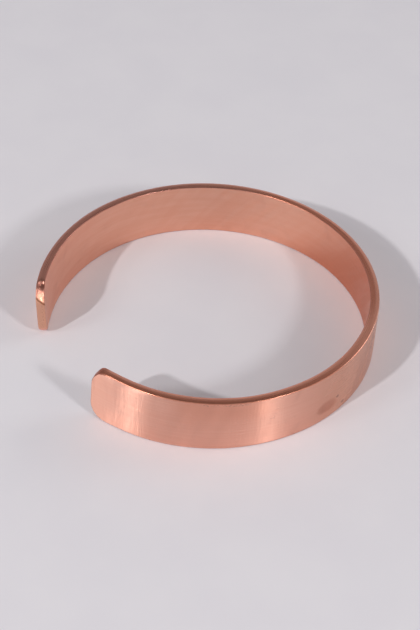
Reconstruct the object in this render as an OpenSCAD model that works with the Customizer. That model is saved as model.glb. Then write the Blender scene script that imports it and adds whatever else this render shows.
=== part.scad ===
// Plain copper cuff bracelet: one flat strip, bent round into an open band.
// It lies on one long edge, as when it is put down on a table.
// Z is up, the gap between the ends faces -Y, and the origin is under the middle of the band.

/* [Strip] */
// Width of the flat strip, which is the height of the cuff as it lies
band_w = 11; // [8:0.5:16]
// Thickness of the strip
band_t = 1.6; // [1.2:0.1:2.2]
// Radius of the eased long edges
edge_r = 0.35; // [0.2:0.05:0.5]

/* [Bend] */
// Outside diameter of the round part
outer_d = 63; // [56:1:66]
// Outside radius of the left end, which is bent a little wider than the rest
open_r = 36; // [34:0.5:44]
// How far round the band the wider bend runs, in degrees of the round part
open_ang = 39; // [20:1:60]

/* [Ends] */
// Angle from the middle of the gap to the right end
right_ang = 20.5; // [14:0.5:30]
// Angle from the middle of the gap to the left end, in degrees of the round part
left_ang = 20.5; // [14:0.5:30]
// Radius of the rounded corners at both ends
corner_r = 3.3; // [1.5:0.1:3.8]
// How far the arc of a corner runs past the strip's edges, as the file leaves it
corner_past = 0.05; // [0.02:0.01:0.1]

/* [Hidden] */

copper = [0.80, 0.53, 0.44];
bend_fn = 180;
corner_fn = 96;
edge_fn = 48;

outer_r = outer_d / 2;
gap_ang = 270;  // the gap faces -Y
right_tip = gap_ang - 360 + right_ang;
open_start = gap_ang - left_ang - open_ang;
round_turn = open_start - right_tip;
open_turn = open_ang * outer_r / open_r;  // the same length of strip on the larger radius
bend_shift = outer_r - open_r;  // from the centre of the round part to the centre of the wider bend
// The band reaches from the lower of its two ends to the back of the round part
right_y = outer_r * sin(right_tip);
left_y = bend_shift * sin(open_start) + open_r * sin(open_start + open_turn);
mid_y = (outer_r + min(right_y, left_y)) / 2;
corner_in = corner_r - corner_past;
cut_reach = 2 * band_t;

// Cross-section of the strip, its outer face at x = 0 and its lower edge at y = 0
module strip_section() {
    translate([edge_r - band_t, 0]) square([band_t - 2 * edge_r, band_w]);
    translate([-band_t, edge_r]) square([band_t, band_w - 2 * edge_r]);
    for (x = [edge_r - band_t, -edge_r], y = [edge_r, band_w - edge_r])
        translate([x, y]) circle(r = edge_r, $fn = edge_fn);
}

// Strip bent through an angle, counted from +X
module bend(radius, turn) {
    rotate_extrude(angle = turn, $fn = bend_fn) translate([radius, 0]) strip_section();
}

// What the file takes off one upper corner: X points out of the band, Y out of its end
module corner_cut() {
    translate([0, -corner_in, band_w - corner_in]) difference() {
        translate([-cut_reach, 0, 0]) cube([2 * cut_reach, 2 * corner_r, 2 * corner_r]);
        translate([-2 * cut_reach, 0, 0]) rotate([0, 90, 0])
            cylinder(r = corner_r, h = 4 * cut_reach, $fn = corner_fn);
    }
}

// Both corners of one end
module end_cuts() {
    corner_cut();
    translate([0, 0, band_w]) mirror([0, 0, 1]) corner_cut();
}

// The band with the place where its two bends meet on +X, before it is turned to face its gap to -Y
module bent_strip() {
    difference() {
        union() {
            mirror([0, 1, 0]) bend(outer_r, round_turn);
            translate([bend_shift, 0, 0]) bend(open_r, open_turn);
        }
        mirror([0, 1, 0]) rotate([0, 0, round_turn]) translate([outer_r, 0, 0]) end_cuts();
        translate([bend_shift, 0, 0]) rotate([0, 0, open_turn]) translate([open_r, 0, 0]) end_cuts();
    }
}

module cuff_band() {
    color(copper) translate([0, -mid_y, 0]) rotate([0, 0, open_start]) bent_strip();
}

cuff_band();
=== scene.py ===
# Open copper cuff, lying on one long edge on a pale table.
# Blender works in metres. The sizes in the dictionaries are millimetres and degrees
# unless they say otherwise.
import math

import bmesh
import bpy
from mathutils import Matrix, Vector, noise


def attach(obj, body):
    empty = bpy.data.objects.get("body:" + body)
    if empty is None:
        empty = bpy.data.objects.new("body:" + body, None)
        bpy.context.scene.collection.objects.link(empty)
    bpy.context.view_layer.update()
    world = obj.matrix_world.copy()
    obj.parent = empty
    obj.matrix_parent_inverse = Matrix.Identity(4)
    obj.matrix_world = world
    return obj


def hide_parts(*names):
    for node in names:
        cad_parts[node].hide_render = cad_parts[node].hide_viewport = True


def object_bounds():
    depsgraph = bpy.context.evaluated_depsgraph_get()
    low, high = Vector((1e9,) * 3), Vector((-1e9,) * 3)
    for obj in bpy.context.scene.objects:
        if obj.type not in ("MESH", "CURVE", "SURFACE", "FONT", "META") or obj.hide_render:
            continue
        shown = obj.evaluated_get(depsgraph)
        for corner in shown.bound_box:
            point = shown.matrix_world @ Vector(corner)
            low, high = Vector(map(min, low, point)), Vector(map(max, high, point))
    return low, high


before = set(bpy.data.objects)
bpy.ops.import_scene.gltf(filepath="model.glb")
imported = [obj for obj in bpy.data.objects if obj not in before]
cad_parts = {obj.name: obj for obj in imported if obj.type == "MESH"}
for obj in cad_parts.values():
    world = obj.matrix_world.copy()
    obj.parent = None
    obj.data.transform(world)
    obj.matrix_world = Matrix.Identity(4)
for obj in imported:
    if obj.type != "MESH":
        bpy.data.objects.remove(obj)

mm = 0.001
cadLow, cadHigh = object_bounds()
scene = bpy.context.scene
scene.view_settings.view_transform = "Standard"

# Camera

cameraSetup = {
    "place": (172.45, -99.4, 180.3),
    "turn": 60.177,  # round Z
    "tilt": 48.29,  # up from straight down
    "roll": 3.11,
    "lens": 80.0,
}


def spin(degrees, axis):
    return Matrix.Rotation(math.radians(degrees), 4, axis)


def placeCamera():
    data = bpy.data.cameras.new("cuffCamera")
    data.lens = cameraSetup["lens"]
    camera = bpy.data.objects.new("cuffCamera", data)
    look = spin(cameraSetup["turn"], "Z") @ spin(cameraSetup["tilt"], "X") @ spin(cameraSetup["roll"], "Z")
    camera.matrix_world = Matrix.Translation(Vector(cameraSetup["place"]) * mm) @ look
    scene.collection.objects.link(camera)
    scene.camera = camera


placeCamera()
print("camera placed")

# The flat strip. "along" runs from the right tip to the left one on the outer face,
# "height" up from the table, and "depth" from the outer face to the inner one.

strip = {
    "crownRise": 0.13,  # the crown of the rim stands a hair over the plain strip
    "thickness": 1.6,
    "easedEdge": 0.16,  # radius where a face turns into the rim
    "edgeSteps": 4,  # faces round each eased edge
    "crownTilt": 19.0,  # the rim is rounded a little across, up to this tilt at its two sides
    "crownSteps": 14,
    "rows": 30,
    "heldRow": 0.07,  # keeps the face flat right up to its eased edge
    "longStep": 0.32,
    "tipStep": 0.14,
    "tipReach": 5.5,  # the close columns run this far from each tip
    "cornerSteps": 46,
}
strip["height"] = (cadHigh.z - cadLow.z) / mm + strip["crownRise"]
filedCorners = {"rightLow": 3.3, "rightTop": 2.5, "leftLow": 3.3, "leftTop": 3.3}  # their radii
bend = {
    "radius": cadHigh.x / mm,
    "start": -69.5,  # the right tip
    "wideStart": 210.5,  # the left end is bent a little wider from here
    "wideEnd": 245.2,
    "wideRadius": 36.0,
    "leanStart": -15.0,  # from here to the right tip the top leans in
    "lean": 4.1,
    "flatEnd": 6.0,  # the last stretch by the right tip is bent less
    "flatOut": 0.22,
    "splayLength": 42.0,  # over this length the left end leans out, most at its tip
    "splayOut": 0.33,
}
bend["middle"] = Vector((0.0, (cadHigh.y - cadHigh.x) / mm, 0.0))
bend["roundLength"] = math.radians(bend["wideStart"] - bend["start"]) * bend["radius"]
wideLength = math.radians(bend["wideEnd"] - bend["wideStart"]) * bend["wideRadius"]
strip["length"] = bend["roundLength"] + wideLength


def edgeProfile():
    # (how far out, how deep, wear) of each ring between the outer face and the inner one
    ease, thick, steps = strip["easedEdge"], strip["thickness"], strip["edgeSteps"]
    tilt = math.radians(strip["crownTilt"])
    side = []
    for i in range(1, steps + 1):
        turn = (math.pi / 2 - tilt) * i / steps
        side.append((ease * math.sin(turn), ease * (1 - math.cos(turn)), math.sin(math.pi * i / (steps + 1))))
    sideOut, sideDeep = side[-1][:2]
    crownRadius = (thick / 2 - sideDeep) / math.sin(tilt)
    crown = []
    for i in range(1, strip["crownSteps"]):
        turn = tilt * (1 - 2 * i / strip["crownSteps"])
        out = sideOut + crownRadius * (math.cos(turn) - math.cos(tilt))
        crown.append((out, thick / 2 - crownRadius * math.sin(turn), 0.0))
    return side + crown + [(out, thick - depth, wear) for out, depth, wear in reversed(side)]


strip["edgeReach"] = max(out for out, depth, wear in edgeProfile())


def stripStations():
    # Distances along the strip of the face's columns, inside the rim
    edge = strip["edgeReach"]
    reach = filedCorners["leftTop"] - edge
    steps = strip["cornerSteps"]
    tip = [edge + reach * (1 - math.cos(math.pi / 2 * i / steps)) for i in range(steps + 1)]
    while tip[-1] < strip["tipReach"]:
        tip.append(tip[-1] + strip["tipStep"])
    gap = strip["length"] - 2 * tip[-1]
    count = round(gap / strip["longStep"])
    middle = [tip[-1] + gap * i / count for i in range(1, count)]
    return tip + middle + [strip["length"] - station for station in reversed(tip)]


def cornerRise(distance, radius):
    # How far a filed corner lifts the outline at a distance from the tip
    inset = radius - strip["edgeReach"]
    short = radius - distance
    return 0.0 if short <= 0 else inset - math.sqrt(max(0.0, inset ** 2 - short ** 2))


def faceColumns():
    # For each column: its place along the strip and its lowest and highest point
    edge = strip["edgeReach"]
    columns = []
    for along in stripStations():
        side, distance = "right", along
        if along > strip["length"] / 2:
            side, distance = "left", strip["length"] - along
        low = edge + cornerRise(distance, filedCorners[side + "Low"])
        top = strip["height"] - edge - cornerRise(distance, filedCorners[side + "Top"])
        columns.append((along, low, top))
    return columns


def rowShares():
    # How far up its column each point of the face stands, 0 at the foot and 1 at the top
    held = strip["heldRow"] / strip["height"]
    inner = [held + (1 - 2 * held) * i / (strip["rows"] - 2) for i in range(strip["rows"] - 1)]
    return [0.0] + inner + [1.0]


def outlineWay(last, top):
    # The grid places round the edge of a face, once round
    lower = [(i, 0) for i in range(last)]
    leftTip = [(last, j) for j in range(top)]
    upper = [(i, top) for i in range(last, 0, -1)]
    rightTip = [(0, j) for j in range(top, 0, -1)]
    return lower + leftTip + upper + rightTip


def outlineNormals(outline):
    normals = []
    for before, after in zip(outline[-1:] + outline[:-1], outline[1:] + outline[:1]):
        run = Vector((after[0] - before[0], after[1] - before[1]))
        normals.append(Vector((run.y, -run.x)).normalized())
    return normals


# What bending, filing and wear did to the strip

handwork = {
    "sway": 0.035,  # slow unevenness of the bend
    "swayLength": 16.0,
    "swayHeight": 24.0,
    "swayLayer": 0.3,  # the two waves read different layers of the noise
    "ripple": 0.011,  # fine waves across the strip
    "rippleLength": 1.9,
    "rippleHeight": 11.0,
    "rippleLayer": 7.7,
    "faceRoll": 0.05,  # both faces drop this far towards the long edges
    "rollReach": 1.4,
}
tipRoll = {  # the outer face drops under the rim by the right tip
    "from": 2.5,
    "to": 13.5,
    "fadeIn": 4.0,  # it comes within a fourth of that length and goes within a third
    "fadeOut": 3.0,
    "reach": 1.9,
    "narrowing": 0.75,  # shares of the reach and of the drop that are gone at its far end
    "drop": 0.16,
    "weakening": 0.6,
}
thickSpot = {"along": 66.0, "spread": 22.0, "lean": 0.08, "swell": 0.22}  # thicker, and leaning in at the top
frontSwell = {"rise": (4.2, 13.2), "fall": (27.5, 40.0), "out": 0.11}  # the wall in front stands a hair proud
ovalDent = {"along": 45.7, "height": 3.3, "slant": -12.0, "halfLong": 2.3, "halfHigh": 0.85, "deep": 0.06}
cornerWork = {"reach": 1.2, "fade": 1.0}  # how far in from the arc of a tip's upper corner filing reaches
# "turn" goes round such a corner, 0 at the end and 90 on top. The right tip's is filed back twice, mostly
# on its outer side, and the inner side gets a share of each cut.
filedBack = {
    "low": {"turn": 24.0, "half": 28.0, "deep": 0.38, "innerShare": 0.5},
    "top": {"turn": 66.0, "half": 30.0, "deep": 0.3, "innerShare": 0.0},
}
# On the left tip a flat facet faces in towards the gap, a groove runs along its lower side, a hollow lies
# above it, and the outer edge is taken off.
filedFacet = {
    "turn": 40.5,
    "halfTurn": 14.0,
    "farthest": 60.0,  # its plane meets the corner well within this turn
    "slope": 0.31,
    "topFade": 12.0,  # it dies out over this turn above the middle of the hollow
    "flatReach": 1.4,  # it is flat from side to side out to this share of its half, fading from 0.4 on
    "flatDeep": 0.12,  # points of the rim this far below its crown come up to it, and less over the fade
    "flatFade": 0.14,
}
filedGroove = {"half": 3.0, "deep": 0.1}
filedHollow = {"turn": 80.0, "depth": 1.02, "half": (0.95, 0.6), "deep": 0.75}
filedEdge = {"rise": (25.0, 33.0), "fall": (67.0, 75.0), "wide": 0.3, "slope": 0.36}


def smooth(share):
    share = min(1.0, max(0.0, share))
    return share * share * (3 - 2 * share)


def plateau(value, rise, fall):
    # 1 between the rise and the fall, 0 outside them
    return smooth((value - rise[0]) / (rise[1] - rise[0])) * smooth((fall[1] - value) / (fall[1] - fall[0]))


def bell(u, v=0.0):
    return math.exp(-(u * u + v * v) ** 1.5)


def tipRollDrop(along, height):
    span = (along - tipRoll["from"]) / (tipRoll["to"] - tipRoll["from"])
    if not 0 < span < 1:
        return 0.0
    reach = tipRoll["reach"] * (1 - tipRoll["narrowing"] * span)
    near = max(0.0, 1 - (strip["height"] - height) / reach)
    fade = smooth(tipRoll["fadeIn"] * span) * smooth(tipRoll["fadeOut"] * (1 - span))
    return tipRoll["drop"] * near ** 2 * fade * (1 - tipRoll["weakening"] * span)


def dentDrop(along, height):
    turn = math.radians(ovalDent["slant"])
    x, y = along - ovalDent["along"], height - ovalDent["height"]
    u = (x * math.cos(turn) + y * math.sin(turn)) / ovalDent["halfLong"]
    v = (y * math.cos(turn) - x * math.sin(turn)) / ovalDent["halfHigh"]
    return ovalDent["deep"] * bell(u, v)


def faceDrop(along, height, depth):
    # How far the surface sinks below the plain face it belongs to
    away = min(height, strip["height"] - height)
    drop = handwork["faceRoll"] * max(0.0, 1 - away / handwork["rollReach"]) ** 2
    if depth < strip["thickness"] / 2:
        drop += tipRollDrop(along, height) + dentDrop(along, height)
    return drop


def rightDrop(turn, depth):
    # How far the right tip's upper corner is filed back
    outerShare = 1 - depth / strip["thickness"]
    drop = 0.0
    for cut in filedBack.values():
        across = cut["innerShare"] + (1 - cut["innerShare"]) * outerShare
        drop += cut["deep"] * bell((turn - cut["turn"]) / cut["half"]) * across
    return drop


def leftDrop(turn, depth):
    # How far filing went in round the left tip's upper corner
    radius = filedCorners["leftTop"]
    chord = radius * math.cos(math.radians(filedFacet["halfTurn"])) - filedFacet["slope"] * depth
    away = turn - filedFacet["turn"]
    cut = max(0.0, radius - chord / math.cos(math.radians(min(abs(away), filedFacet["farthest"]))))
    cut *= 1 - smooth((turn - filedHollow["turn"]) / filedFacet["topFade"])
    low = -math.degrees(math.acos(chord / radius))
    groove = filedGroove["deep"] * math.exp(-((away - low) / filedGroove["half"]) ** 2)
    x = math.radians(turn - filedHollow["turn"]) * radius / filedHollow["half"][0]
    y = (depth - filedHollow["depth"]) / filedHollow["half"][1]
    edge = filedEdge["slope"] * max(0.0, filedEdge["wide"] - depth)
    edge *= plateau(turn, filedEdge["rise"], filedEdge["fall"])
    return cut + groove + edge + filedHollow["deep"] * bell(x, y)


def facetFill(below, turn):
    # The facet is flat from side to side: there the sides of the rim come up level with its crown
    share = smooth(filedFacet["flatReach"] - abs(turn - filedFacet["turn"]) / filedFacet["halfTurn"])
    return share * max(0.0, below) * (1 - smooth((below - filedFacet["flatDeep"]) / filedFacet["flatFade"]))


def filedPlace(side, along, height, depth):
    # Where filing leaves a point by a tip's upper corner
    outward, tip = (1, strip["length"]) if side == "left" else (-1, 0.0)
    radius = filedCorners[side + "Top"]
    # From the middle of the corner's arc, x runs out of the tip and y up
    x, y = outward * (along - tip) + radius, height - strip["height"] + radius
    reach = math.hypot(x, y)
    share = smooth((reach - radius + cornerWork["reach"]) / cornerWork["fade"])
    if share == 0 or min(x, y) <= -cornerWork["reach"]:
        return along, height
    turn = math.degrees(math.atan2(y, x))
    if side == "right":
        drop = rightDrop(turn, depth) * share
    else:
        drop = leftDrop(turn, depth) * share
        if 0 < depth < strip["thickness"]:
            drop -= facetFill(radius - reach, turn)
    return along - outward * drop * x / reach, height - drop * y / reach


def worked(along, height, depth):
    # A point of the plain flat strip after the handwork
    sway = noise.noise(Vector((along / handwork["swayLength"], height / handwork["swayHeight"],
                               handwork["swayLayer"])))
    ripple = noise.noise(Vector((along / handwork["rippleLength"], height / handwork["rippleHeight"],
                                 handwork["rippleLayer"])))
    inward = 1 if depth < strip["thickness"] / 2 else -1
    midway = abs(depth / strip["thickness"] - 0.5) * 2
    newDepth = depth + handwork["sway"] * sway + handwork["ripple"] * ripple
    newDepth += inward * midway * faceDrop(along, height, depth)
    newDepth -= frontSwell["out"] * plateau(along, frontSwell["rise"], frontSwell["fall"])
    away = (along - thickSpot["along"]) / thickSpot["spread"]
    thickShare = math.exp(-away ** 2) * height / strip["height"]
    newDepth += (thickSpot["lean"] + thickSpot["swell"] * depth / strip["thickness"]) * thickShare
    for side in ("right", "left"):
        along, height = filedPlace(side, along, height, depth)
    return along, height, newDepth


def bentPlace(along, height, depth):
    # Where a point of the flat strip lies once the strip is bent round
    angle = bend["start"] + math.degrees(along / bend["radius"])
    radius = bend["radius"]
    middle = bend["middle"]
    if along > bend["roundLength"]:
        radius = bend["wideRadius"]
        joint = math.radians(bend["wideStart"])
        angle = bend["wideStart"] + math.degrees((along - bend["roundLength"]) / radius)
        middle = middle + Vector((math.cos(joint), math.sin(joint), 0)) * (bend["radius"] - radius)
    leanShare = max(0.0, (bend["leanStart"] - angle) / (bend["leanStart"] - bend["start"]))
    lean = math.tan(math.radians(bend["lean"] * leanShare)) * (height - strip["height"] / 2)
    turn = math.radians(angle)
    flat = bend["flatOut"] * max(0.0, 1 - along / bend["flatEnd"]) ** 2
    splay = bend["splayOut"] * max(0.0, 1 - (strip["length"] - along) / bend["splayLength"]) ** 1.5
    out = radius - depth - lean + flat + splay * height / strip["height"]
    return middle + Vector((math.cos(turn), math.sin(turn), 0)) * out + Vector((0, 0, height))


def flatBand():
    # The flat strip: each point as (along, height, depth), its wear, the faces and their material slots
    columns, shares = faceColumns(), rowShares()
    last, top = len(columns) - 1, len(shares) - 1
    face = {(i, j): (along, low + (high - low) * share)
            for i, (along, low, high) in enumerate(columns) for j, share in enumerate(shares)}
    way = outlineWay(last, top)
    outline = [face[spot] for spot in way]
    normals = outlineNormals(outline)
    flat, wears = [], []

    def addFace(depth):
        indexOf = {}
        for spot, (along, height) in face.items():
            indexOf[spot] = len(flat)
            flat.append((along, height, depth))
            wears.append(0.0)
        return indexOf

    outer, inner = addFace(0.0), addFace(strip["thickness"])
    rings = [[outer[spot] for spot in way]]
    for out, depth, wear in edgeProfile():
        ring = []
        for (along, height), normal in zip(outline, normals):
            ring.append(len(flat))
            flat.append((along + normal.x * out, height + normal.y * out, depth))
            wears.append(wear)
        rings.append(ring)
    rings.append([inner[spot] for spot in way])

    faces, slots = [], []
    for slot, indexOf in enumerate((outer, inner)):
        for i in range(last):
            for j in range(top):
                faces.append([indexOf[i, j], indexOf[i + 1, j], indexOf[i + 1, j + 1], indexOf[i, j + 1]])
                slots.append(slot)
    for ringA, ringB in zip(rings, rings[1:]):
        for k in range(len(way)):
            n = (k + 1) % len(way)
            faces.append([ringA[k], ringA[n], ringB[n], ringB[k]])
            slots.append(2)
    return flat, wears, faces, slots


def buildCuffBand():
    flat, wears, faces, slots = flatBand()
    mesh = bpy.data.meshes.new("cuffBand")
    mesh.from_pydata([bentPlace(*worked(*spot)) * mm for spot in flat], [], faces)
    mesh.polygons.foreach_set("material_index", slots)
    turned = bmesh.new()
    turned.from_mesh(mesh)
    bmesh.ops.recalc_face_normals(turned, faces=turned.faces)
    turned.to_mesh(mesh)
    turned.free()
    mesh.polygons.foreach_set("use_smooth", [True] * len(faces))
    # Grain and wear follow the flat strip, so each point keeps its flat place and its wear
    space = mesh.attributes.new("stripSpace", "FLOAT_VECTOR", "POINT")
    space.data.foreach_set("vector", [value for spot in flat for value in spot])
    worn = mesh.attributes.new("edgeWear", "FLOAT", "POINT")
    worn.data.foreach_set("value", wears)
    cuffBand = bpy.data.objects.new("cuffBand", mesh)
    scene.collection.objects.link(cuffBand)
    return cuffBand


cuffBand = buildCuffBand()
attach(cuffBand, "root")
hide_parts("cuff_band")
print("cuff bent:", len(cuffBand.data.polygons), "faces")

# Node helpers: a value that is a socket is linked, anything else is typed in


def addNode(tree, kind, values=None, **settings):
    made = tree.nodes.new("ShaderNode" + kind)
    for key, value in settings.items():
        setattr(made, key, value)
    for key, value in (values or {}).items():
        if isinstance(value, bpy.types.NodeSocket):
            tree.links.new(value, made.inputs[key])
        else:
            made.inputs[key].default_value = value
    return made


def calc(tree, operation, first, second=0.0, clamp=False):
    return addNode(tree, "Math", {0: first, 1: second}, operation=operation, use_clamp=clamp).outputs[0]


def vectorCalc(tree, operation, first, second):
    return addNode(tree, "VectorMath", {0: first, 1: second}, operation=operation).outputs[0]


def joined(tree, x, y, z):
    return addNode(tree, "CombineXYZ", {"X": x, "Y": y, "Z": z}).outputs[0]


def remap(tree, value, fromLow, fromHigh, toLow=0.0, toHigh=1.0, curve="SMOOTHSTEP"):
    given = {"Value": value, "From Min": fromLow, "From Max": fromHigh, "To Min": toLow, "To Max": toHigh}
    return addNode(tree, "MapRange", given, interpolation_type=curve).outputs["Result"]


def mixColours(tree, share, first, second):
    given = {0: share}
    for key, colour in ((6, first), (7, second)):
        given[key] = (*colour, 1) if isinstance(colour, tuple) else colour
    return addNode(tree, "Mix", given, data_type="RGBA").outputs[2]


def cloud(tree, place, scale=1.0, detail=2.0, rough=0.5, distortion=0.0):
    # Noise, stretched where it is given a scale for each direction
    if not isinstance(scale, float):
        place = vectorCalc(tree, "MULTIPLY", place, scale)
        scale = 1.0
    given = {"Vector": place, "Scale": scale, "Detail": detail, "Roughness": rough, "Distortion": distortion}
    return addNode(tree, "TexNoise", given).outputs["Fac"]


def newGroup(name, inputs, outputs):
    # A group that takes a place on the strip and its own inputs, where a tuple makes a vector socket
    group = bpy.data.node_groups.new(name, "ShaderNodeTree")
    for socketName, default in {"Place": (0, 0, 0), **inputs}.items():
        kind = "NodeSocketVector" if isinstance(default, tuple) else "NodeSocketFloat"
        group.interface.new_socket(socketName, in_out="INPUT", socket_type=kind).default_value = default
    for socketName in outputs:
        group.interface.new_socket(socketName, in_out="OUTPUT", socket_type="NodeSocketFloat")
    return group, group.nodes.new("NodeGroupInput").outputs, group.nodes.new("NodeGroupOutput").inputs


def useGroup(tree, group, values):
    return addNode(tree, "Group", values, node_tree=group).outputs


# Effects of the copper finishes. A contrast is the noise levels where a mask starts and where it is full.

grainLook = {
    "lines": {"detail": 3.0, "rough": 0.6},
    "lineContrast": (0.32, 0.68),
    "bands": {"scale": (0.9, 0.16, 0.16), "detail": 2.0, "rough": 0.55},  # the scale is against the lines
    "bandContrast": (0.3, 0.7),
}
tarnishLook = {
    "blotches": {"detail": 4.0, "rough": 0.6, "distortion": 0.6},
    "start": 0.72,  # noise level where patches start without any cover
    "coverGain": 0.4,  # how much lower they start at full cover
    "softness": 0.2,
}
marksLook = {
    "ridges": {"detail": 1.0, "rough": 0.4, "distortion": 1.2},
    "middle": 0.5,  # scratches run where the ridges' noise passes this level
    "hairline": 0.006,
    "scratched": {"scale": 1.7, "detail": 1.0},
    "scratchContrast": (0.52, 0.6),
    "pitScale": 3.0,
    "pitted": {"scale": 0.8, "detail": 2.0},
    "pitContrast": (0.54, 0.62),
}
sweepLook = {
    "length": 9.0,  # against the spacing
    "depth": 4.0,
    "bands": {"detail": 2.0, "rough": 0.45},
    "contrast": (0.35, 0.65),
}
rubLook = {
    "broken": {"scale": (0.6, 1.5, 1.5), "detail": 3.0, "rough": 0.6},
    "patchyFrom": 0.9,  # noise level where rubbing starts at full patchiness
    "full": 0.75,
}
spotEdge = (0.55, 1.1)  # a spot is full up to the first share of its half sizes and gone at the second


def rolledGrain():
    # Fine lines along the strip, as rolling and a satin wheel leave them, and the broader bands between them
    group, given, out = newGroup("rolledGrain", {"Lines per mm": 7.0, "Run": 0.05}, ["Lines", "Bands"])
    across = given["Lines per mm"]
    place = vectorCalc(group, "MULTIPLY", given["Place"], joined(group, given["Run"], across, across))
    lines = cloud(group, place, **grainLook["lines"])
    bands = cloud(group, place, **grainLook["bands"])
    group.links.new(remap(group, lines, *grainLook["lineContrast"]), out["Lines"])
    group.links.new(remap(group, bands, *grainLook["bandContrast"]), out["Bands"])
    return group


def tarnishPatches():
    # Soft blotches where hands and air have dulled the metal
    group, given, out = newGroup("tarnishPatches", {"Size": 6.0, "Cover": 0.4}, ["Patches"])
    size = joined(group, given["Size"], given["Size"], given["Size"])
    blotches = cloud(group, vectorCalc(group, "DIVIDE", given["Place"], size), **tarnishLook["blotches"])
    gain = calc(group, "MULTIPLY", given["Cover"], tarnishLook["coverGain"])
    low = calc(group, "SUBTRACT", tarnishLook["start"], gain)
    high = calc(group, "ADD", low, tarnishLook["softness"])
    group.links.new(remap(group, blotches, low, high), out["Patches"])
    return group


def handlingMarks():
    # Hairline scratches that wander over the metal, and small pits
    group, given, out = newGroup("handlingMarks", {"Spacing": 5.0, "Pit size": 0.07}, ["Scratches", "Pits"])
    spacing = joined(group, given["Spacing"], given["Spacing"], given["Spacing"])
    place = vectorCalc(group, "DIVIDE", given["Place"], spacing)
    ridges = calc(group, "SUBTRACT", cloud(group, place, **marksLook["ridges"]), marksLook["middle"])
    lines = remap(group, calc(group, "ABSOLUTE", ridges), 0.0, marksLook["hairline"], 1.0, 0.0)
    scratched = remap(group, cloud(group, place, **marksLook["scratched"]), *marksLook["scratchContrast"])
    group.links.new(calc(group, "MULTIPLY", lines, scratched), out["Scratches"])
    cells = addNode(group, "TexVoronoi", {"Vector": place, "Scale": marksLook["pitScale"]})
    size = calc(group, "DIVIDE", marksLook["pitScale"], given["Spacing"])
    size = calc(group, "MULTIPLY", given["Pit size"], size)
    pits = remap(group, cells.outputs["Distance"], 0.0, size, 1.0, 0.0)
    pitted = remap(group, cloud(group, place, **marksLook["pitted"]), *marksLook["pitContrast"])
    group.links.new(calc(group, "MULTIPLY", pits, pitted), out["Pits"])
    return group


def polishSweeps():
    # Slanting bands that the polishing mop leaves across a face, with the slant in radians
    group, given, out = newGroup("polishSweeps", {"Slant": 1.0, "Spacing": 2.2}, ["Sweeps"])
    turned = addNode(group, "VectorRotate", {"Vector": given["Place"], "Angle": given["Slant"]},
                     rotation_type="Z_AXIS").outputs[0]
    length = calc(group, "MULTIPLY", given["Spacing"], sweepLook["length"])
    spacing = joined(group, given["Spacing"], length, sweepLook["depth"])
    bands = cloud(group, vectorCalc(group, "DIVIDE", turned, spacing), **sweepLook["bands"])
    group.links.new(remap(group, bands, *sweepLook["contrast"]), out["Sweeps"])
    return group


def rubbedEdges():
    # Where the long edges are rubbed bright, broken up so that it doesn't run evenly
    group, given, out = newGroup("rubbedEdges", {"Wear": 0.0, "Patchiness": 0.5}, ["Rub"])
    start = calc(group, "MULTIPLY", given["Patchiness"], rubLook["patchyFrom"])
    kept = remap(group, cloud(group, given["Place"], **rubLook["broken"]), start, rubLook["full"])
    group.links.new(calc(group, "MULTIPLY", given["Wear"], kept), out["Rub"])
    return group


def spotMark():
    # One soft-edged oval at a given place of the strip
    group, given, out = newGroup("spotMark", {"Middle": (0, 0, 0), "Half": (1, 1, 1)}, ["Spot"])
    away = vectorCalc(group, "SUBTRACT", given["Place"], given["Middle"])
    away = vectorCalc(group, "DIVIDE", away, given["Half"])
    far = addNode(group, "VectorMath", {0: away}, operation="LENGTH").outputs["Value"]
    group.links.new(remap(group, far, *spotEdge, 1.0, 0.0), out["Spot"])
    return group


effects = {
    "grain": rolledGrain(),
    "tarnish": tarnishPatches(),
    "marks": handlingMarks(),
    "sweeps": polishSweeps(),
    "rub": rubbedEdges(),
    "spot": spotMark(),
}

# The copper finishes. Each has a dictionary with the same parts:
# "layers" lays tones over the first one, one after another: (mask, how much of it, tone).
# "effects" has the values that each effect is placed with.
# "zones" are masks that a stretch of the strip gives: the product of ramps (direction, from, to), which rise
# from 0 to 1, or between the two numbers after that.
# "roughness" is between the grain's lines and on them. "roughening" and "relief" have the masks' weights.

grainTurn = 0.2405  # how the grain lies to the strip, as a share of a full turn


def zone(tree, fields, ramps):
    # The product of the ramps
    total = None
    for direction, *ramp in ramps:
        part = remap(tree, fields[direction], *ramp)
        total = part if total is None else calc(tree, "MULTIPLY", total, part)
    return total


def addUp(tree, fields, weights):
    # The sum of the masks, each times its weight
    total = None
    for name, weight in weights.items():
        part = calc(tree, "MULTIPLY", fields[name], weight)
        total = part if total is None else calc(tree, "ADD", total, part)
    return total


def startCopper(name, look):
    # A copper material, and by name what varies over it: the place on the strip and the masks
    material = bpy.data.materials.new(name)
    material.use_nodes = True
    tree = material.node_tree
    shader = tree.nodes["Principled BSDF"]
    shader.inputs["Metallic"].default_value = 1
    shader.inputs["Anisotropic"].default_value = look["anisotropy"]
    shader.inputs["Anisotropic Rotation"].default_value = grainTurn
    place = addNode(tree, "Attribute", attribute_name="stripSpace").outputs["Vector"]
    fields = dict(zip(("along", "height", "depth"), addNode(tree, "SeparateXYZ", {0: place}).outputs))
    fields["place"] = place
    for effect, values in look["effects"].items():
        for output in useGroup(tree, effects[effect], {"Place": place, **values}):
            fields[output.name.lower()] = output
    for zoneName, ramps in look["zones"].items():
        fields[zoneName] = zone(tree, fields, ramps)
    return material, tree, fields


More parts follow.
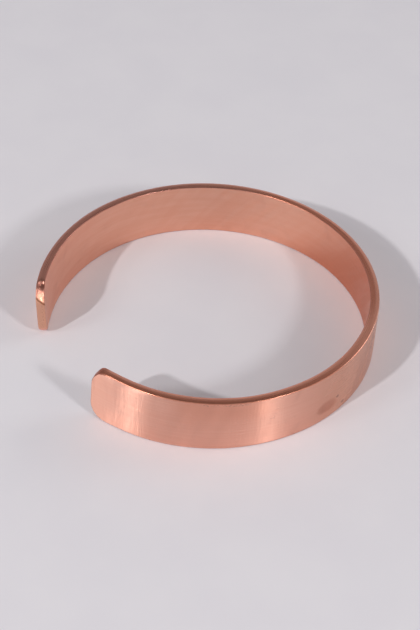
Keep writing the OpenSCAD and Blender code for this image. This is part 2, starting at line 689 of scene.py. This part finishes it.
def finishCopper(tree, fields, look):
    shader = tree.nodes["Principled BSDF"]
    colour = look["tones"][look["first"]]
    for name, share, tone in look["layers"]:
        mask = fields[name] if share == 1 else calc(tree, "MULTIPLY", fields[name], share)
        colour = mixColours(tree, mask, colour, look["tones"][tone])
    tree.links.new(colour, shader.inputs["Base Color"])
    rough = remap(tree, fields["lines"], 0.0, 1.0, *look["roughness"], "LINEAR")
    rough = calc(tree, "ADD", rough, addUp(tree, fields, look["roughening"]), True)
    tree.links.new(rough, shader.inputs["Roughness"])
    relief = addUp(tree, fields, look["relief"])
    bump = addNode(tree, "Bump", {"Height": relief, "Strength": 1.0, "Distance": look["bumpDepth"] * mm})
    tree.links.new(bump.outputs["Normal"], shader.inputs["Normal"])


satin = {  # outer face
    "tones": {
        "bright": (0.96, 0.54, 0.42),
        "clean": (0.92, 0.48, 0.36),
        "warm": (0.88, 0.42, 0.30),
        "tarnished": (0.60, 0.28, 0.21),
        "shaded": (0.70, 0.36, 0.255),
        "paintedDentShade": (0.62, 0.26, 0.18),
        "dirtAndShade": (0.20, 0.08, 0.06),
    },
    "first": "bright",
    "layers": [
        ("lines", 1.0, "clean"),
        ("bands", 0.2, "warm"),
        ("patches", 0.22, "tarnished"),
        ("warmth", 1.0, "warm"),
        ("shade", 0.95, "shaded"),
        ("dent", 0.65, "paintedDentShade"),
        ("scratches", 0.5, "bright"),
        ("dark", 1.0, "dirtAndShade"),
    ],
    "effects": {
        "grain": {"Lines per mm": 7.0, "Run": 0.05},
        "tarnish": {"Size": 7.0, "Cover": 0.35},
        "marks": {"Spacing": 5.0, "Pit size": 0.07},
        "sweeps": {"Slant": 0.35, "Spacing": 2.6},
    },
    "zones": {
        "warmth": [("along", 14.0, 20.0), ("along", 30.0, 36.0, 1.0, 0.0), ("height", 3.0, 9.5, 0.1, 0.9)],
        # painted shade: the right of the outer face is darker, where it reflects the shadowed table
        "shade": [("along", 37.0, 51.0), ("along", 58.0, 82.0, 1.0, 0.1)],
        "polished": [("along", 41.0, 54.0)],
        "dullTipAndShadedEdge": [("along", 1.0, 6.0, 1.0, 0.0)],
        "crumbRun": [("along", 20.5, 22.5), ("along", 28.5, 30.5, 1.0, 0.0),
                     ("height", 10.3, 10.45), ("height", 10.85, 11.0, 1.0, 0.0)],
        "strokeRun": [("along", 40.0, 56.0, 1.0, 0.3)],
    },
    "roughness": (0.27, 0.35),
    "roughening": {"patches": 0.06, "sweeps": 0.04, "dent": 0.05, "polished": -0.08, "dullTipAndShadedEdge": 0.11},
    "relief": {"lines": 0.07, "bands": 0.05, "scratches": -0.4, "pits": -1.0, "dark": -0.4, "strokes": 1.7},
    "anisotropy": 1.0,
    "bumpDepth": 0.012,
}
outerDirt = {
    "pitShare": 0.7,
    "raggedScale": 2.2,  # the outlines of the spots are pushed about by noise this fine, this far
    "raggedReach": (0.5, 0.3, 0.0),
    "crumbs": {"scale": (3.2, 5.0, 1.0)},  # tiny specks right under the upper edge
    "crumbContrast": (0.5, 0.6),
    "crumbShare": 0.6,
}
strokeLook = {"scale": (2.2, 0.2, 1.0), "rough": 0.6}  # short upright unevenness, most of it in front
# Spots on the outer face: middle and half size along the strip and up, and how dark
spotDepth = 2.0
# painted shade: the dent is darker than the face round it, and its foot darker still
dentSpot = {"middle": (45.9, 3.2), "half": (2.9, 1.6)}
darkSpots = {
    "dentFootShade": {"middle": (44.6, 2.9), "half": (1.2, 1.0), "dark": 0.08},
    "speckUpper": {"middle": (48.45, 4.1), "half": (0.36, 0.34), "dark": 0.8},
    "speckLower": {"middle": (50.3, 1.5), "half": (0.5, 0.35), "dark": 0.7},
    "speckBack": {"middle": (62.3, 7.7), "half": (0.7, 0.3), "dark": 0.95},
    "speckBackLow": {"middle": (61.0, 6.4), "half": (0.5, 0.22), "dark": 0.95},
    "speckBackLeft": {"middle": (60.9, 7.3), "half": (0.34, 0.18), "dark": 0.8},
    "speckBackHigh": {"middle": (61.6, 9.1), "half": (0.5, 0.16), "dark": 0.85},
    "speckBackFar": {"middle": (63.4, 8.6), "half": (0.4, 0.2), "dark": 0.7},
}


def outerSpot(tree, place, spot):
    given = {"Place": place, "Middle": (*spot["middle"], 0.0), "Half": (*spot["half"], spotDepth)}
    return useGroup(tree, effects["spot"], given)["Spot"]


def raggedPlace(tree, place):
    # The place pushed about a little, so that a spot's outline is uneven
    given = {"Vector": place, "Scale": outerDirt["raggedScale"], "Detail": 1.0}
    push = addNode(tree, "TexNoise", given).outputs["Color"]
    push = vectorCalc(tree, "SUBTRACT", push, (0.5, 0.5, 0.5))
    return vectorCalc(tree, "ADD", vectorCalc(tree, "MULTIPLY", push, outerDirt["raggedReach"]), place)


def makeSatinCopper():
    material, tree, fields = startCopper("satinCopper", satin)
    place = fields["place"]
    ragged = raggedPlace(tree, place)
    fields["dent"] = outerSpot(tree, ragged, dentSpot)
    crumbs = remap(tree, cloud(tree, place, **outerDirt["crumbs"]), *outerDirt["crumbContrast"])
    crumbs = calc(tree, "MULTIPLY", fields["crumbRun"], crumbs)
    dirtAndShade = [(crumbs, outerDirt["crumbShare"])]
    dirtAndShade += [(outerSpot(tree, ragged, spot), spot["dark"]) for spot in darkSpots.values()]
    fields["dark"] = calc(tree, "MULTIPLY", fields["pits"], outerDirt["pitShare"])
    for mask, share in dirtAndShade:
        fields["dark"] = calc(tree, "MAXIMUM", fields["dark"], calc(tree, "MULTIPLY", mask, share))
    fields["strokes"] = calc(tree, "MULTIPLY", cloud(tree, place, **strokeLook), fields["strokeRun"])
    # the dark mask holds dirt and the painted shade at the dent's foot
    metal = calc(tree, "SUBTRACT", 1.0, fields["dark"], True)  # dirt isn't metal
    tree.links.new(metal, tree.nodes["Principled BSDF"].inputs["Metallic"])
    finishCopper(tree, fields, satin)
    return material


inside = {  # inner face, duller than the outer one
    "tones": {
        "clean": (0.86, 0.485, 0.36),
        "warm": (0.80, 0.40, 0.28),
        # painted shade: darker, redder tone where the inner face reflects shadowed table and copper
        "paintedShadeTone": (0.68, 0.29, 0.19),
        "tarnished": (0.58, 0.30, 0.23),
    },
    "first": "clean",
    "layers": [
        ("bands", 0.5, "warm"),
        ("sweeps", 0.45, "warm"),
        ("paintedShade", 1.0, "paintedShadeTone"),
        ("patches", 0.2, "tarnished"),
        ("pits", 0.7, "tarnished"),
    ],
    "effects": {
        "grain": {"Lines per mm": 5.0, "Run": 0.08},
        "tarnish": {"Size": 9.0, "Cover": 0.45},
        "marks": {"Spacing": 6.0, "Pit size": 0.06},
        "sweeps": {"Slant": -0.75, "Spacing": 1.9},
    },
    "zones": {
        "sweepRun": [("along", 118.0, 146.0, 1.0, 0.25)],
        "paintedShadeStart": [("along", 48.0, 60.0)],
    },
    "paintedShadeSlant": 1.6,  # the painted shade ends further along low down than it does high up
    "paintedShadeEnd": (94.0, 112.0),
    "roughness": (0.34, 0.44),
    "roughening": {"patches": 0.06, "sweeps": 0.1},
    "relief": {"lines": 0.3, "bands": 0.3, "sweeps": 1.5, "scratches": -0.5, "pits": -0.8},
    "anisotropy": 0.5,
    "bumpDepth": 0.012,
}


def makeInnerCopper():
    material, tree, fields = startCopper("innerCopper", inside)
    fields["sweeps"] = calc(tree, "MULTIPLY", fields["sweeps"], fields["sweepRun"])
    # Painted shade: the right side is darker and redder, most of all low down, where it reflects the shadowed
    # table and copper
    slant = calc(tree, "MULTIPLY", fields["height"], inside["paintedShadeSlant"])
    paintedShadeEnd = remap(tree, calc(tree, "ADD", fields["along"], slant), *inside["paintedShadeEnd"], 1.0, 0.0)
    fields["paintedShade"] = calc(tree, "MULTIPLY", paintedShadeEnd, fields["paintedShadeStart"])
    finishCopper(tree, fields, inside)
    return material


upperRim = ("height", 9.5, 10.6)
cutEdge = {  # the rim all round and both ends
    "tones": {
        "clean": (0.84, 0.37, 0.26),
        "bright": (0.94, 0.58, 0.46),
        # painted shade tone for the rim's darker halves
        "warm": (0.78, 0.31, 0.21),
        "paintedShadeTone": (0.60, 0.21, 0.13),
        "endTan": (0.78, 0.41, 0.28),
        "tarnished": (0.50, 0.22, 0.17),
        "hollow": (0.36, 0.14, 0.07),
        "paintedCapReflection": (0.42, 0.15, 0.10),
    },
    "first": "clean",
    "layers": [
        ("bands", 0.5, "warm"),
        ("patches", 0.3, "tarnished"),
        ("rub", 0.8, "bright"),
        ("pits", 0.6, "tarnished"),
        ("hollow", 1.0, "hollow"),
        ("paintedShade", 0.75, "paintedShadeTone"),
        ("leftRimShade", 0.8, "tarnished"),
        ("dullTipAndShadedEdge", 0.95, "tarnished"),
        ("paintedCapReflection", 1.0, "paintedCapReflection"),
        ("leftEnd", 1.0, "endTan"),
        ("groove", 0.85, "hollow"),
    ],
    "effects": {
        "grain": {"Lines per mm": 4.0, "Run": 0.12},
        "tarnish": {"Size": 4.0, "Cover": 0.4},
        "marks": {"Spacing": 3.0, "Pit size": 0.08},
    },
    "zones": {
        # Painted shade: the rim is darker along its outer half in front and along its inner half at the back
        "paintedShadeFront": [("along", 44.0, 56.0, 1.0, 0.0), ("depth", 0.55, 1.0, 1.0, 0.0), upperRim],
        "paintedShadeBack": [("along", 60.0, 70.0), ("along", 104.0, 124.0, 1.0, 0.0),
                      ("depth", 0.5, 0.85), upperRim],
        # painted shade: the top of the rim darker at the left
        "leftRimShade": [("along", 100.0, 134.0), upperRim],
        # Painted shade darkens the upper eased edges, except outside in front and inside at the back, where
        # they are left bright
        "unshadedFront": [("along", 62.0, 70.0, 1.0, 0.0), ("depth", 0.5, 0.9, 1.0, 0.0)],
        "unshadedBack": [("along", 94.0, 100.0), ("along", 111.0, 118.0, 1.0, 0.0), ("depth", 0.5, 0.9)],
        "onTop": [upperRim],
        # painted reflection: the filed cap by the right tip is dark red-brown where it mirrors the shadowed
        # inner wall
        "paintedCapReflection": [("along", 1.4, 3.6, 1.0, 0.0), ("height", 7.4, 8.6)],
        "leftEnd": [("along", strip["length"] - 0.6, strip["length"] - 0.2)],
        "grooveRun": [("along", strip["length"] - 1.2, strip["length"] - 0.8)],
        "filed": [("along", strip["length"] - 3.2, strip["length"] - 2.6),
                  ("height", strip["height"] - 3.4, strip["height"] - 2.8)],
    },
    "patchiness": 0.4,
    "roughness": (0.24, 0.36),
    "roughening": {"patches": 0.08, "filed": 0.12, "paintedCapReflection": -0.05},
    "relief": {"lines": 0.25, "bands": 0.3, "scratches": -0.5, "pits": -0.5},
    "anisotropy": 0.0,
    "bumpDepth": 0.012,
}
hollowDarkSpot = {  # in the hollow above the facet
    "middle": (strip["length"] - 2.55, strip["height"] - 0.1, filedHollow["depth"] + 0.15),
    "half": (0.85, 0.8, 0.46),
}
grooveDarkLine = {"slope": 0.82, "level": strip["height"] - 1.8, "half": (0.1, 0.26)}


def makeCutEdgeCopper():
    material, tree, fields = startCopper("cutEdgeCopper", cutEdge)
    place = fields["place"]
    wear = addNode(tree, "Attribute", attribute_name="edgeWear").outputs["Fac"]
    rubGiven = {"Place": place, "Wear": wear, "Patchiness": cutEdge["patchiness"]}
    fields["rub"] = useGroup(tree, effects["rub"], rubGiven)["Rub"]
    # painted shade on the rim's darker halves
    fields["paintedShade"] = calc(tree, "ADD", fields["paintedShadeFront"], fields["paintedShadeBack"])
    # painted shade on the upper eased edges, left off where they gleam
    unshaded = calc(tree, "ADD", fields["unshadedFront"], fields["unshadedBack"], True)
    dullTipAndShadedEdge = calc(tree, "MULTIPLY", wear, calc(tree, "SUBTRACT", 1.0, unshaded))
    fields["dullTipAndShadedEdge"] = calc(tree, "MULTIPLY", dullTipAndShadedEdge, fields["onTop"])
    hollowGiven = {"Place": place, "Middle": hollowDarkSpot["middle"], "Half": hollowDarkSpot["half"]}
    fields["hollow"] = useGroup(tree, effects["spot"], hollowGiven)["Spot"]
    # The groove under the facet is darker
    slope = calc(tree, "MULTIPLY", fields["depth"], grooveDarkLine["slope"])
    away = calc(tree, "SUBTRACT", calc(tree, "ADD", fields["height"], slope), grooveDarkLine["level"])
    groove = remap(tree, calc(tree, "ABSOLUTE", away), *grooveDarkLine["half"], 1.0, 0.0)
    fields["groove"] = calc(tree, "MULTIPLY", groove, fields["grooveRun"])
    finishCopper(tree, fields, cutEdge)
    return material


for make in (makeSatinCopper, makeInnerCopper, makeCutEdgeCopper):
    cuffBand.data.materials.append(make())
print("copper finished")

# Table, lights and air of the studio

tableLook = {
    "size": 3000.0,
    "cells": 8,
    "colour": (0.82, 0.79, 0.82),
    "shade": (0.80, 0.77, 0.805),
    "roughness": 0.9,
    "specular": 0.1,
    "mottle": {"scale": 60.0, "detail": 3.0},  # scales per metre
    "mottleContrast": (0.3, 0.7),
    "fibre": {"scale": 2500.0, "rough": 0.6},
    "fibreStrength": 0.3,
    "fibreDepth": 0.02,
}
lampsAway = 1300.0
lamps = {  # direction round Z and up from the table, side of the square box, watts
    "leftBox": {"turn": -74.0, "rise": 36.1, "side": 50.0, "watts": 6.15},
    "leftScreen": {"turn": -92.0, "rise": 36.0, "side": 260.0, "watts": 1.6},
    "rightBox": {"turn": 16.8, "rise": 32.6, "side": 150.0, "watts": 4.3},
    "sideScreen": {"turn": 80.0, "rise": 26.0, "side": 520.0, "watts": 2.1},
}
air = {
    "level": 0.344,
    "tint": (1.0, 0.99, 1.02),
    "overhead": {"turn": -30.0, "rise": 75.0, "spread": 55.0, "level": -0.16},  # the air is dimmer high up
    "horizon": {"rise": 42.0, "level": 0.4},  # and lighter near the table's far edge
}


def layTable():
    cells, half = tableLook["cells"], tableLook["size"] / 2 * mm
    mesh = bpy.data.meshes.new("paleTable")
    made = bmesh.new()
    bmesh.ops.create_grid(made, x_segments=cells, y_segments=cells, size=half)
    made.to_mesh(mesh)
    made.free()
    table = bpy.data.objects.new("paleTable", mesh)
    table.location.z = cadLow.z
    scene.collection.objects.link(table)
    material = bpy.data.materials.new("palePaper")
    material.use_nodes = True
    tree = material.node_tree
    shader = tree.nodes["Principled BSDF"]
    shader.inputs["Roughness"].default_value = tableLook["roughness"]
    shader.inputs["Specular IOR Level"].default_value = tableLook["specular"]
    place = addNode(tree, "TexCoord").outputs["Object"]
    mottle = remap(tree, cloud(tree, place, **tableLook["mottle"]), *tableLook["mottleContrast"])
    colour = mixColours(tree, mottle, tableLook["colour"], tableLook["shade"])
    tree.links.new(colour, shader.inputs["Base Color"])
    fibre = cloud(tree, place, **tableLook["fibre"])
    depth = tableLook["fibreDepth"] * mm
    bump = addNode(tree, "Bump", {"Height": fibre, "Strength": tableLook["fibreStrength"], "Distance": depth})
    tree.links.new(bump.outputs["Normal"], shader.inputs["Normal"])
    mesh.materials.append(material)


def towards(turn, rise):
    return spin(turn, "Z") @ spin(-rise, "Y") @ Vector((1, 0, 0))


def hangLamps():
    for name, lamp in lamps.items():
        data = bpy.data.lights.new(name, "AREA")
        data.shape = "SQUARE"
        data.size = lamp["side"] * mm
        data.energy = lamp["watts"]
        light = bpy.data.objects.new(name, data)
        away = towards(lamp["turn"], lamp["rise"])
        light.location = away * lampsAway * mm
        light.rotation_euler = away.to_track_quat("Z", "Y").to_euler()
        scene.collection.objects.link(light)


def fillAir():
    world = bpy.data.worlds.new("studioAir")
    world.use_nodes = True
    tree = world.node_tree
    background = tree.nodes["Background"]
    background.inputs["Color"].default_value = (*air["tint"], 1)
    way = addNode(tree, "TexCoord").outputs["Generated"]
    up = calc(tree, "ABSOLUTE", addNode(tree, "SeparateXYZ", {0: way}).outputs["Z"])
    horizon, overhead = air["horizon"], air["overhead"]
    level = remap(tree, up, 0.0, math.sin(math.radians(horizon["rise"])), horizon["level"], 0.0)
    level = calc(tree, "ADD", level, air["level"])
    middle = towards(overhead["turn"], overhead["rise"])
    facing = addNode(tree, "VectorMath", {0: way, 1: middle}, operation="DOT_PRODUCT").outputs["Value"]
    edge = math.cos(math.radians(overhead["spread"]))
    level = calc(tree, "ADD", level, remap(tree, facing, edge, 1.0, 0.0, overhead["level"]))
    tree.links.new(level, background.inputs["Strength"])
    scene.world = world


layTable()
hangLamps()
fillAir()
print("studio set")
